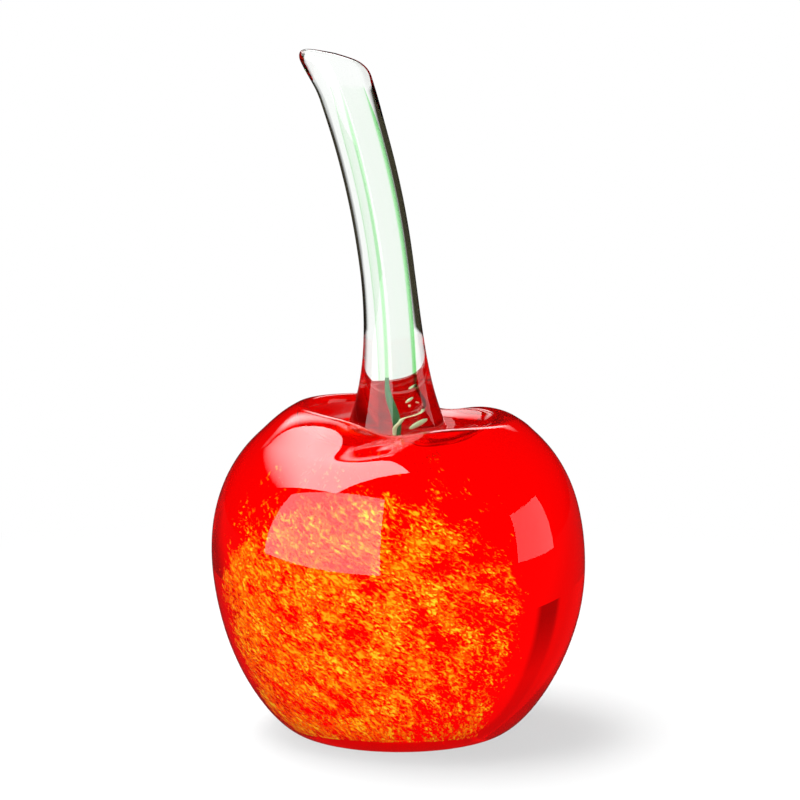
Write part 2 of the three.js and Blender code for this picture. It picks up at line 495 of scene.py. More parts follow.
@dataclass
class Fruit:
    """The fruit: clear casing, ruby core and the frit between them. Sizes in millimetres."""

    SWIRL = "swirl"
    COVER = "cover"
    # Attribute of the painted shade in the hollow.
    PAINTED_HOLLOW_SHADE = "hollow"

    # Clear gather over the fruit: sharp reflections, and painted shade that gives a deeper red through the
    # walls of the hollow and high up behind it.
    casing_glass: ClearGlass = ClearGlass(painted_shade_mask=PAINTED_HOLLOW_SHADE, painted_edge_shade="9B9B9B", edge_start=-0.9, edge_end=0.9)

    # Ruby gather: so strong a red that hardly any green or blue comes through its depth.
    core_glass: TintedGlass = TintedGlass("ruby_glass_gather", "FF0000", 180.0)

    # Crushed enamel glass in two colours: red where a fleck is thin, orange or amber where it is thick.
    orange_frit: FritVeil = FritVeil(
        "orange_enamel_frit", shallow="FF0000", middle="FF5A00", deep="FFA014",
        fleck_width_mm=0.85, fleck_stretch=2.2, seed=0.0, show=0.485, full=0.705,
    )
    yellow_frit: FritVeil = FritVeil(
        "yellow_enamel_frit", shallow="FF1E00", middle="FF8200", deep="FFC828",
        fleck_width_mm=0.65, fleck_stretch=2.6, seed=17.3, show=0.475, full=0.685,
    )

    body_diameter: float = 100.0
    equator_height: float = 47.3
    base_diameter: float = 53.8
    base_edge_run: float = 6.6
    belly_run: float = 26.6
    shoulder_run: float = 26.3
    rim_height: float = 86.5
    rim_diameter: float = 53.0
    rim_shift: float = 2.6
    rim_stretch: float = 0.9
    rim_slope: float = math.radians(28.7)
    rim_run: float = 7.3
    lip_half: float = 2.0
    lip_drop_out: float = 0.36
    lip_drop_in: float = 1.56
    lip_pull: float = 1.8
    wall_lean: float = math.radians(12)
    wall_run: float = 6.0
    dimple_diameter: float = 43.0
    dimple_depth: float = 11.0
    dimple_round: float = 0.8
    rim_lean: float = 1.9
    rim_lean_start: float = 80.0
    body_lean: float = 0.7
    body_lean_start: float = 30.0
    body_lean_end: float = 60.0
    cleft_depth: float = 2.9
    cleft_start: float = 77.0
    cleft_half_width: float = 9.0
    cleft_offset: float = 3.0
    cleft_turn: float = math.radians(15)
    cleft_swing: float = 1.0
    neck_diameter: float = 23.4
    base_recess: float = 0.4
    orange_depth: float = 5.3
    yellow_depth: float = 6.1
    core_depth: float = 6.9
    core_rim_depth: float = 1.5
    rim_skin_start: float = 78.0
    rim_skin_end: float = 84.0
    fold_share: float = 0.97
    # Where the painted shade deepens the red in the hollow and behind it, and how strongly.
    hollow_shade_start: float = 66.0
    hollow_shade_end: float = 78.0
    hollow_shade_back: float = 10.0
    hollow_shade_off: float = -2.0
    hollow_shade_on: float = 1.0
    hollow_shade_inner: float = 17.5
    veil_thickness: float = 0.3
    veil_left: float = math.radians(-100)
    veil_right: float = math.radians(58)
    veil_foot: float = 5.6
    veil_top: float = 79.0
    frit_slant: float = math.radians(-25)
    frit_middle: float = math.radians(-12)
    frit_half_width: float = math.radians(58)
    frit_top: float = 76.0
    frit_fall_right: float = 23.0
    frit_fall_left: float = 20.0
    frit_fade_below: float = 12.0
    frit_fade_above: float = 6.0
    frit_sparse: float = 0.55
    frit_sparse_rise: float = 18.0
    frit_right_start: float = math.radians(36)
    frit_right_end: float = math.radians(56)
    frit_left_start: float = math.radians(-68)
    frit_left_end: float = math.radians(-86)
    frit_thin_right: float = 0.17
    frit_thin_low: float = 0.05
    frit_low_start: float = 8.0
    frit_low_end: float = 32.0
    turn_steps: int = 192
    inner_turn_steps: int = 96
    curve_steps: int = 44
    lip_steps: int = 22
    flat_steps: int = 7
    neck_steps: int = 4

    def outline(self) -> list[Vector]:
        """Half of the outline, from the middle of the base over the rim to the middle of the dimple.

        Returns:
            Points of radius and height in the X-Z plane.
        """
        body, base = self.body_diameter / 2, self.base_diameter / 2
        rim, dimple = self.rim_diameter / 2, self.dimple_diameter / 2
        equator, seat = self.equator_height, self.rim_height - self.dimple_depth
        outer = Vector((rim + self.lip_half, self.rim_height - self.lip_drop_out))
        inner = Vector((rim - self.lip_half, self.rim_height - self.lip_drop_in))
        climb = Vector((-math.cos(self.rim_slope), math.sin(self.rim_slope)))
        fall = Vector((-math.sin(self.wall_lean), -math.cos(self.wall_lean)))
        return joined(
            straight((0, 0), (base, 0), self.flat_steps),
            curve((base, 0), (base + self.base_edge_run, 0), (body, equator - self.belly_run),
                  (body, equator), steps=self.curve_steps),
            curve((body, equator), (body, equator + self.shoulder_run), outer - self.rim_run * climb, outer,
                  steps=self.curve_steps),
            curve(outer, outer + self.lip_pull * climb, inner - self.lip_pull * fall, inner,
                  steps=self.lip_steps),
            curve(inner, inner + self.wall_run * fall, (dimple + self.dimple_round, seat), (dimple, seat),
                  steps=self.lip_steps),
            straight((dimple, seat), (0, seat), self.flat_steps),
        )

    def inset(self, depth: float, rim_depth: float) -> list[Vector]:
        """Moves the outline inwards, less the points that fold over at a tight bend.

        Args:
            depth: how far the points of the belly move along their normals.
            rim_depth: how far the points of the rim and the dimple move.

        Returns:
            The inner outline.
        """
        outline = self.outline()
        last = len(outline) - 1
        moved = []
        for i, point in enumerate(outline):
            along = (outline[min(i + 1, last)] - outline[max(i - 1, 0)]).normalized()
            within_rim = point.x < self.rim_diameter / 2 and point.z > self.equator_height
            rise = 1.0 if within_rim else smoothstep(point.z, self.rim_skin_start, self.rim_skin_end)
            local = depth + (rim_depth - depth) * rise
            inner = point + local * Vector((-along.z, 0.0, along.x))
            if i in (0, last):
                inner.x = 0.0
            if min((inner - other).length for other in outline) > self.fold_share * local:
                moved.append(inner)
        return moved

    def press_lobes(self, mesh: bmesh.types.BMesh) -> None:
        """Leans the rim of a turned mesh and presses the cleft that parts the two lobes.

        Args:
            mesh: mesh of the casing, the core or a veil, whose faces point outwards again at the end.
        """
        rim, dimple = self.rim_diameter / 2, self.dimple_diameter / 2
        for vert in mesh.verts:
            place = vert.co
            height = place.z
            reach = smoothstep(math.hypot(place.x, place.y), dimple, rim)
            upper = smoothstep(place.z, self.rim_lean_start, self.rim_height)
            lean = self.rim_lean * upper
            middle = self.cleft_offset - self.cleft_swing * max(self.rim_height - place.z, 0.0)
            across = (place.x - middle) * math.cos(self.cleft_turn) - place.y * math.sin(self.cleft_turn)
            cleft = self.cleft_depth * smoothstep(place.z, self.cleft_start, self.rim_height)
            fall = math.exp(-((across / self.cleft_half_width) ** 2))
            place.z -= reach * (lean * place.x / rim + cleft * fall)
            place.x += reach * upper * (self.rim_shift + self.rim_stretch * place.x / rim)
            place.x -= self.body_lean * smoothstep(height, self.body_lean_start, self.body_lean_end)
        bmesh.ops.recalc_face_normals(mesh, faces=mesh.faces)

    def hollow_shade_mask(self, place: Vector) -> float:
        """How much painted shade deepens the red through the casing: most in the hollow, and high up behind
        it.

        Args:
            place: point of the casing before the cleft is pressed.

        Returns:
            Value of the painted shade mask there.
        """
        rim = self.rim_diameter / 2
        reach = math.hypot(place.x, place.y)
        within = smoothstep(reach, self.hollow_shade_inner, self.dimple_diameter / 2)
        within *= 1 - smoothstep(reach, rim - self.lip_half, rim)
        behind = smoothstep(place.y, -self.hollow_shade_back, self.hollow_shade_back)
        upper = smoothstep(place.z, self.hollow_shade_start, self.hollow_shade_end)
        return self.hollow_shade_off + (self.hollow_shade_on - self.hollow_shade_off) * upper * max(within, behind)

    def build_casing(self) -> bpy.types.Object:
        """Makes the clear casing, smooth all round, with its dimple and ground base.

        Returns:
            The piece.
        """
        mesh = turned(self.outline(), self.turn_steps)
        # Painted shade: a deeper red in the hollow and high up behind it.
        hollow = mesh.verts.layers.float.new(self.PAINTED_HOLLOW_SHADE)
        for vert in mesh.verts:
            vert[hollow] = self.hollow_shade_mask(vert.co)
        self.press_lobes(mesh)
        return place_piece("fruit_casing", mesh, (self.casing_glass,), "clear_casing")

    def build_core(self) -> bpy.types.Object:
        """Makes the ruby core with its neck down to the ground base.

        Returns:
            The piece.
        """
        neck, recess = self.neck_diameter / 2, self.base_recess
        body = [point for point in self.inset(self.core_depth, self.core_rim_depth)
                if point.x >= neck or point.z > self.equator_height]
        plug = joined(straight((0, recess), (neck, recess), self.neck_steps),
                      straight((neck, recess), (neck, body[0].z), self.neck_steps))
        mesh = turned(joined(plug, body), self.inner_turn_steps)
        self.press_lobes(mesh)
        return place_piece("ruby_core_body", mesh, (self.core_glass,), "ruby_core")

    def frit_cover(self, azimuth: float, height: float) -> float:
        """How thick the frit lies at a place: full over the lower front, thin at the edges.

        Args:
            azimuth: angle round the fruit from the front, positive to the right.
            height: height above the base.

        Returns:
            A share from 0 to 1.
        """
        side = (azimuth - self.frit_middle) / self.frit_half_width
        fall = self.frit_fall_right if azimuth > self.frit_middle else self.frit_fall_left
        top = self.frit_top - fall * side * side
        edge = top + self.frit_fade_above
        dense = 1 - smoothstep(height, top - self.frit_fade_below, edge)
        sparse = self.frit_sparse * (1 - smoothstep(height, edge, top + self.frit_sparse_rise))
        right = 1 - smoothstep(azimuth, self.frit_right_start, self.frit_right_end)
        left = smoothstep(azimuth, self.frit_left_end, self.frit_left_start)
        thinner = 1 - self.frit_thin_right * smoothstep(azimuth, 0.0, self.frit_right_start)
        low = 1 - self.frit_thin_low * (1 - smoothstep(height, self.frit_low_start, self.frit_low_end))
        return max(dense, sparse) * right * left * thinner * low

    def build_veil(self, name: str, node: str, depth: float, finish: FritVeil) -> bpy.types.Object:
        """Makes a veil of frit under the casing.

        Args:
            name: name of the piece.
            node: node of the frame that it stands for.
            depth: depth of its outer face under the surface.
            finish: its frit.

        Returns:
            The piece.
        """
        radius = self.body_diameter / 2
        start = Matrix.Rotation(self.veil_left - math.pi / 2, 3, "Z")
        outline = [start @ point for point in self.inset(depth, depth)
                   if self.veil_foot < point.z < self.veil_top and point.x > self.rim_diameter / 2]
        mesh = turned(outline, self.inner_turn_steps, self.veil_right - self.veil_left)
        self.press_lobes(mesh)
        outward = max(mesh.faces, key=lambda face: -face.calc_center_median().y)
        if outward.normal.y > 0:
            bmesh.ops.reverse_faces(mesh, faces=mesh.faces)
        inner = bmesh.ops.solidify(mesh, geom=mesh.faces, thickness=self.veil_thickness)["geom"]
        bare = {item for item in inner if isinstance(item, bmesh.types.BMVert)}
        swirl = mesh.loops.layers.uv.new(self.SWIRL)
        cover = mesh.verts.layers.float.new(self.COVER)
        slant_cos, slant_sin = math.cos(self.frit_slant), math.sin(self.frit_slant)
        for face in mesh.faces:
            for loop in face.loops:
                place = loop.vert.co
                azimuth = math.atan2(place.x, -place.y)
                around, up = azimuth * radius, place.z
                loop[swirl].uv = (around * slant_cos + up * slant_sin, up * slant_cos - around * slant_sin)
                loop.vert[cover] = 0.0 if loop.vert in bare else self.frit_cover(azimuth, place.z)
        piece = place_piece(name, mesh, (finish,), node)
        piece.visible_shadow = False
        return piece

    def build(self) -> list[bpy.types.Object]:
        """Makes the pieces of the fruit.

        Returns:
            Casing, core, orange frit and yellow frit.
        """
        return [
            self.build_casing(),
            self.build_core(),
            self.build_veil("orange_flecks", "orange_frit_veil", self.orange_depth, self.orange_frit),
            self.build_veil("yellow_flecks", "yellow_frit_veil", self.yellow_depth, self.yellow_frit),
        ]


@dataclass(frozen=True)
class Drop:
    """A drop of milky glass in the foot of the stem: angle round the rod and tilt, sizes in millimetres."""

    SEGMENTS = 20
    RINGS = 12

    angle: float
    height: float
    ring: float
    half_length: float
    half_depth: float
    half_height: float
    tilt: float

    def add_to(self, mesh: bmesh.types.BMesh) -> None:
        """Adds the drop, a squeezed ball, to the mesh of its thread, as enamel.

        Args:
            mesh: mesh of the thread.
        """
        middle = Vector((self.ring * math.cos(self.angle), self.ring * math.sin(self.angle), self.height))
        turn = Matrix.Rotation(self.angle, 4, "Z") @ Matrix.Rotation(self.tilt, 4, "X")
        squeeze = Matrix.Diagonal((self.half_depth, self.half_length, self.half_height, 1.0))
        place = Matrix.Translation(middle) @ turn @ squeeze
        ball = bmesh.ops.create_uvsphere(mesh, u_segments=self.SEGMENTS, v_segments=self.RINGS, radius=1.0,
                                         matrix=place)
        paint_second(ball)


@dataclass(frozen=True)
class Thread:
    """How a green thread lies on the rod of the stem: angles round it, from the right; sizes in mm.

    The swings are heights in the foot and the angles that are added there. Below the enamel height the thread
    is milky, and between the start and the end of the foot it takes its width and thickness there.
    """

    side: str
    foot_angle: float
    tip_angle: float
    width: float
    thickness: float
    foot_thickness: float
    foot_width: float
    swings: tuple[tuple[float, float], ...] = ()
    foot_start: float = 12.0
    foot_end: float = 20.0
    enamel_height: float = 0.0
    enamel: Enamel = Enamel()
    spread: float = 0.0
    drops: tuple[Drop, ...] = ()

    def swing(self, height: float) -> float:
        """Angle that the swings in the foot add at a height, eased from one to the next.

        Args:
            height: height above the seat of the stem.

        Returns:
            The angle, 0 above the last swing.
        """
        for (low, low_angle), (high, high_angle) in zip(self.swings, self.swings[1:]):
            if height < high:
                return low_angle + (high_angle - low_angle) * smoothstep(height, low, high)
        return 0.0


@dataclass
class Stem:
    """The stem: clear casing, inner rod and three green threads. Sizes in millimetres."""

    # Attribute of the painted shade along the edges of the stem.
    STEM_SHADE_MASK = "shaft"

    # Heights in the foot, and the angles in degrees that a thread swings by there.
    SWAY = ((0.0, 40), (6.0, 34), (18.0, 0))
    HOOK = ((0.0, -82), (6.0, -80), (8.8, -64), (10.2, -8), (12.0, 2), (16.0, 0))

    # Drops of the right thread: angle in degrees, height, ring, half of length, depth and height, tilt.
    DROPS = (
        (-38, 6.9, 5.7, 2.9, 0.4, 0.75, 17),
        (-26, 17.0, 3.7, 1.5, 0.3, 0.35, 14),
        (-44, 13.5, 3.7, 1.2, 0.3, 0.4, 30),
        (-46, 11.9, 3.9, 0.3, 0.3, 0.35, 0),
        (-22, 12.6, 4.5, 0.6, 0.3, 0.18, -24),
    )

    # Clear gather over the stem: a trace of green in its depth, and painted shade in dark lines along its
    # edges.
    casing_glass: ClearGlass = ClearGlass("stem_soda_lime_glass", depth_colour="97A589", density_per_m=8.0,
                                          painted_shade_mask=STEM_SHADE_MASK)

    # Thin skin of the rod, which makes the middle of the stem mint green.
    rod_glass: TintedGlass = TintedGlass("pale_rod_glass", "A0E6A0", 500.0)

    # Seat where the stem is fused to the fruit: red even as a thin sheet, seen through the foot.
    seat_glass: TintedGlass = TintedGlass("maroon_seat_glass", "FF0000", 12000.0)

    # Threads: fresh green along the stem, though they are thin.
    thread_glass: TintedGlass = TintedGlass("green_thread_glass", "2CEB40", 2000.0)

    seat_height: float = 75.5
    sink: float = 0.5
    diameter: float = 14.4
    offset: float = -0.9
    tip_height: float = 181.3
    lean: float = 16.3
    upright_run: float = 54.2
    tip_run: float = 31.9
    tip_angle: float = math.radians(17.9)
    foot_seam: float = 0.3
    foot_diameter: float = 33.0
    foot_height: float = 47.4
    foot_toe_rise: float = 12.0
    foot_toe_run: float = 6.2
    foot_waist_height: float = 21.4
    foot_waist_flare: float = 0.4
    lip_diameter: float = 14.9
    lip_run: float = 23.9
    lip_round: float = 3.9
    lip_flare: float = 1.7
    lip_flare_run: float = 12.8
    lip_flare_end: float = 2.8
    tip_shear: float = math.radians(34)
    tip_shear_run: float = 25.4
    tip_pinch: float = 0.3
    tip_pinch_run: float = 24.0
    # Where along the shaft the painted edge shade lies, and how much more of it the right side has.
    shaft_start: float = 34.0
    shaft_end: float = 9.0
    shaft_fade: float = 7.0
    right_edge_shade: float = 0.22
    core_diameter: float = 6.7
    core_shift: float = 0.35
    skin_thickness: float = 0.1
    seat_radius: float = 14.0
    seat_thickness: float = 0.3
    thread_ring: float = 3.6
    thread_end_depth: float = 6.5
    thread_fade: float = 18.0
    thread_step: float = 0.35
    thread_turn_steps: int = 12
    thread_tapers: int = 12
    core_end_depth: float = 9.3
    turn_steps: int = 72
    length_step: float = 1.0
    base_steps: int = 6
    edge_steps: int = 2
    foot_steps: int = 44
    lip_steps: int = 18
    round_steps: int = 12
    round_handle: float = 3.0
    table_steps: int = 400
    knots: list[Vector] = field(init=False)
    table: list[tuple[float, float]] = field(init=False)
    length: float = field(init=False)

    def __post_init__(self) -> None:
        """Works out the line through the middle of the stem and its length."""
        foot = Vector((self.offset, 0.0, self.seat_height + self.foot_seam))
        tip = Vector((self.offset - self.lean, 0.0, self.tip_height))
        back = Vector((math.sin(self.tip_angle), 0.0, -math.cos(self.tip_angle)))
        self.knots = [foot, foot + Vector((0.0, 0.0, self.upright_run)), tip + self.tip_run * back, tip]
        self.length = 0.0
        self.table = [(0.0, 0.0)]
        before = foot
        for i in range(1, self.table_steps + 1):
            share = i / self.table_steps
            point = self.axis_point(share)
            self.length += (point - before).length
            self.table.append((self.length, share))
            before = point

    def axis_point(self, share: float) -> Vector:
        """Point of the middle line at a share of its curve parameter.

        Args:
            share: curve parameter, 0 at the foot and 1 at the tip.

        Returns:
            The point.
        """
        rest = 1 - share
        weights = (rest ** 3, 3 * rest * rest * share, 3 * rest * share * share, share ** 3)
        return sum((weight * knot for weight, knot in zip(weights, self.knots)), Vector())

    def axis_direction(self, share: float) -> Vector:
        """Direction of the middle line at a share of its curve parameter.

        Args:
            share: curve parameter, 0 at the foot and 1 at the tip.

        Returns:
            The direction, of length 1.
        """
        rest = 1 - share
        first, second, third = (after - before for before, after in zip(self.knots, self.knots[1:]))
        return (rest * rest * first + 2 * rest * share * second + share * share * third).normalized()

    def share_at(self, along: float) -> float:
        """Curve parameter at a length along the middle line, held at its ends.

        Args:
            along: length from the foot.

        Returns:
            Curve parameter, 0 at the foot and 1 at the tip.
        """
        if along <= 0:
            return 0.0
        low, high = 0, len(self.table) - 1
        while high - low > 1:
            middle = (low + high) // 2
            if self.table[middle][0] > along:
                high = middle
            else:
                low = middle
        (low_length, low_share), (high_length, high_share) = self.table[low], self.table[high]
        step = (min(along, high_length) - low_length) / (high_length - low_length)
        return low_share + step * (high_share - low_share)

    def bend(self, mesh: bmesh.types.BMesh) -> None:
        """Shears the end of a straight mesh, flares its long side, then bends it along the middle line.

        Args:
            mesh: mesh that stands upright on the seat.
        """
        flare_end = self.length - self.lip_flare_end
        for vert in mesh.verts:
            place = vert.co
            tilt = smoothstep(place.z, self.length - self.tip_shear_run, self.length)
            flare = self.lip_flare * smoothstep(place.z, self.length - self.lip_flare_run, flare_end)
            pinch = 1 - self.tip_pinch * smoothstep(place.z, self.length - self.tip_pinch_run, self.length)
            along = place.z - math.tan(self.tip_shear) * tilt * place.x
            beyond = along - min(max(along, 0.0), self.length)
            share = self.share_at(along)
            direction = self.axis_direction(share)
            across = place.x + flare * min(place.x, 0.0) / (self.diameter / 2)
            side = Vector((direction.z, 0.0, -direction.x))
            depth = Vector((0.0, pinch * place.y, 0.0))
            vert.co = self.axis_point(share) + across * side + beyond * direction + depth

    def rounded_end(self) -> list[Vector]:
        """Outline of the round end of the casing, which closes on the axis.

        Returns:
            Points of radius and height in the X-Z plane.
        """
        radius, round_size, top = self.lip_diameter / 2, self.lip_round, self.length
        pull = round_size / self.round_handle
        corner = curve((radius, top - round_size), (radius, top - pull), (radius - pull, top),
                       (radius - round_size, top), steps=self.round_steps)
        return joined(corner, straight((radius - round_size, top), (0, top), self.round_steps // 2))

    def stem_edge_shade(self, place: Vector) -> float:
        """How much painted shade darkens the edges of the stem at a place: along the shaft, and more so on
        its right.

        Args:
            place: point of the casing before it is bent.

        Returns:
            Value of the painted shade mask there.
        """
        shaft_top = self.length - self.shaft_end
        upper = 1 - smoothstep(place.z, shaft_top, shaft_top + self.shaft_fade)
        lower = smoothstep(place.z, self.shaft_start - self.shaft_fade, self.shaft_start)
        return upper * lower - 1 + self.right_edge_shade * smoothstep(place.x, 0.0, self.diameter / 2)

    def build_casing(self) -> bpy.types.Object:
        """Makes the clear stem with its flared foot, bend and sheared, fire-polished end.

        Returns:
            The piece.
        """
        radius, foot, lip = self.diameter / 2, self.foot_diameter / 2, self.lip_diameter / 2
        lip_foot = self.length - self.lip_round
        lip_start = lip_foot - self.lip_run
        lip_middle = lip_start + self.lip_run / 2
        under = -self.foot_seam - self.sink
        shaft_steps = round((lip_start - self.foot_height) / self.length_step)
        outline = joined(
            straight((0, under), (foot, under), self.base_steps),
            straight((foot, under), (foot, 0), self.edge_steps),
            curve((foot, 0), (foot - self.foot_toe_run, self.foot_toe_rise),
                  (radius + self.foot_waist_flare, self.foot_waist_height), (radius, self.foot_height),
                  steps=self.foot_steps),
            straight((radius, self.foot_height), (radius, lip_start), shaft_steps),
            curve((radius, lip_start), (radius, lip_middle), (lip, lip_middle), (lip, lip_foot),
                  steps=self.lip_steps),
            self.rounded_end(),
        )
        mesh = turned(outline, self.turn_steps)
        # Painted shade: dark lines along the edges of the shaft.
        shaft = mesh.verts.layers.float.new(self.STEM_SHADE_MASK)
        for vert in mesh.verts:
            vert[shaft] = self.stem_edge_shade(vert.co)
        self.bend(mesh)
        bmesh.ops.recalc_face_normals(mesh, faces=mesh.faces)
        piece = place_piece("stem_body", mesh, (self.casing_glass,), "stem_casing")
        piece.visible_diffuse = True
        return piece

    def build_core(self) -> bpy.types.Object:
        """Makes the inner rod of the stem, seen by its thin green skin, with the dark seat under it.

        Returns:
            The piece.
        """
        radius = self.core_diameter / 2
        inner = radius - self.skin_thickness
        top = self.length - self.core_end_depth
        steps = round(top / self.length_step)
        outline = joined(straight((inner, 0), (radius, 0), 1),
                         straight((radius, 0), (radius, top), steps),
                         straight((radius, top), (inner, top), 1),
                         straight((inner, top), (inner, 0), steps))
        mesh = turned(outline, self.turn_steps)
        bmesh.ops.translate(mesh, vec=(self.core_shift, 0, 0), verts=mesh.verts)
        seat = bmesh.ops.create_cone(mesh, cap_ends=True, segments=self.turn_steps, radius1=self.seat_radius,
                                     radius2=self.seat_radius, depth=self.seat_thickness)
        paint_second(seat)
        bmesh.ops.translate(mesh, vec=(0, 0, -self.foot_seam), verts=seat["verts"])
        self.bend(mesh)
        return place_piece("stem_rod", mesh, (self.rod_glass, self.seat_glass), "stem_core")

    def threads(self) -> tuple[Thread, ...]:
        """How the three threads lie, with their ends in the foot.

        Returns:
            The left, the middle and the right thread.
        """
        sway, hook = (tuple((height, math.radians(angle)) for height, angle in swings)
                      for swings in (self.SWAY, self.HOOK))
        drops = tuple(Drop(math.radians(angle), *sizes, math.radians(tilt))
                      for angle, *sizes, tilt in self.DROPS)
        return (
            Thread("left", foot_angle=math.radians(-150), tip_angle=math.radians(-146), width=4.0,
                   thickness=0.015, foot_thickness=0.1, foot_width=4.0),
            Thread("middle", foot_angle=math.radians(-128), tip_angle=math.radians(-114), width=1.0,
                   thickness=0.3, foot_thickness=0.9, foot_width=1.9, swings=sway,
                   enamel_height=20.0, enamel=Enamel("dark_green_glass", "508C5A")),
            Thread("right", foot_angle=math.radians(-18), tip_angle=math.radians(-14), width=1.8,
                   thickness=0.3, foot_thickness=0.8, foot_width=0.7, swings=hook,
                   enamel_height=11.0, spread=2.0, drops=drops),
        )

    def build_thread(self, thread: Thread) -> bpy.types.Object:
        """Makes a flat green thread on the rod, with its thick, wavy end in the foot.

        Args:
            thread: which thread it is and how it lies.

        Returns:
            The piece.
        """
        top = self.length - self.thread_end_depth
        steps = round(top / self.thread_step)
        taper = steps // self.thread_tapers
        fade = self.thread_fade / self.thread_step
        outline = []
        for i in range(steps + 1):
            share = min(i / taper, (steps - i) / fade, 1.0)
            outline.append(Vector((math.sin(math.pi * share / 2) / 2, 0.0, top * i / steps)))
        mesh = turned(outline, self.thread_turn_steps)
        for face in mesh.faces:
            if face.calc_center_median().z < thread.enamel_height:
                face.material_index = SECOND_FINISH
        for vert in mesh.verts:
            place = vert.co
            foot = 1 - smoothstep(place.z, thread.foot_start, thread.foot_end)
            lean = thread.foot_angle + (thread.tip_angle - thread.foot_angle) * place.z / self.length
            width = thread.width + foot * (thread.foot_width - thread.width)
            turn = lean + thread.swing(place.z) - place.x * width / self.thread_ring
            thickness = thread.thickness + foot * (thread.foot_thickness - thread.thickness)
            ring = self.thread_ring + place.y * thickness + thread.spread * foot * foot
            vert.co = Vector((self.core_shift + ring * math.cos(turn), ring * math.sin(turn), place.z))
        for drop in thread.drops:
            drop.add_to(mesh)
        self.bend(mesh)
        return place_piece(f"green_thread_{thread.side}", mesh, (self.thread_glass, thread.enamel),
                           f"green_cane_{thread.side}")

    def build(self) -> list[bpy.types.Object]:
        """Makes the pieces of the stem."""
        return [self.build_casing(), self.build_core(), *map(self.build_thread, self.threads())]


@dataclass(frozen=True)
class Softbox:
    """A lamp with a flat white face. Sizes in metres; a radiance of 1 is white.

    A mirrored one is what polished glass shows, and lights nothing matt. The others light matt things alone.
    Its light fades out over a share of its height, towards its lower edge.
    """

    name: str
    place: Place
    facing: Place
    size: tuple[float, float]
    radiance: float
    mirrored: bool
    object_only: bool = False
    roll: float = 0.0
    fade: float = 0.0

    def fade_out(self, lamp: bpy.types.AreaLight) -> None:
        """Adds the nodes that fade the light of the lamp out.

        Args:
            lamp: the lamp.
        """
        lamp.use_nodes = True
        tree = lamp.node_tree
        tree.nodes.clear()
        face = add_node(tree, "NewGeometry")
        split = add_node(tree, "SeparateXYZ", {0: face.outputs["Parametric"]})
        strength = add_node(tree, "MapRange", {"Value": split.outputs["Y"], "From Max": self.fade})
        glow = add_node(tree, "Emission", {"Strength": strength})
        add_node(tree, "OutputLight", {"Surface": glow})

    def build(self, lit: bpy.types.Collection) -> None:
        """Adds the lamp.

        Args:
            lit: pieces of the object, for a lamp that lights them without the floor.
        """
        lamp = bpy.data.lights.new(self.name, "AREA")
        lamp.shape = "RECTANGLE"
        lamp.size, lamp.size_y = self.size
        lamp.energy = self.radiance * math.pi * self.size[0] * self.size[1]
        if self.fade > 0:
            self.fade_out(lamp)
        box = bpy.data.objects.new(self.name, lamp)
        turn = Vector(self.facing).to_track_quat("-Z", "Y").to_matrix() @ Matrix.Rotation(self.roll, 3, "Z")
        box.matrix_world = Matrix.Translation(Vector(self.place)) @ turn.to_4x4()
        box.visible_camera = False
        box.visible_transmission = False
        box.visible_glossy = self.mirrored
        box.visible_diffuse = not self.mirrored
        if self.object_only:
            box.light_linking.receiver_collection = lit
        bpy.context.scene.collection.objects.link(box)


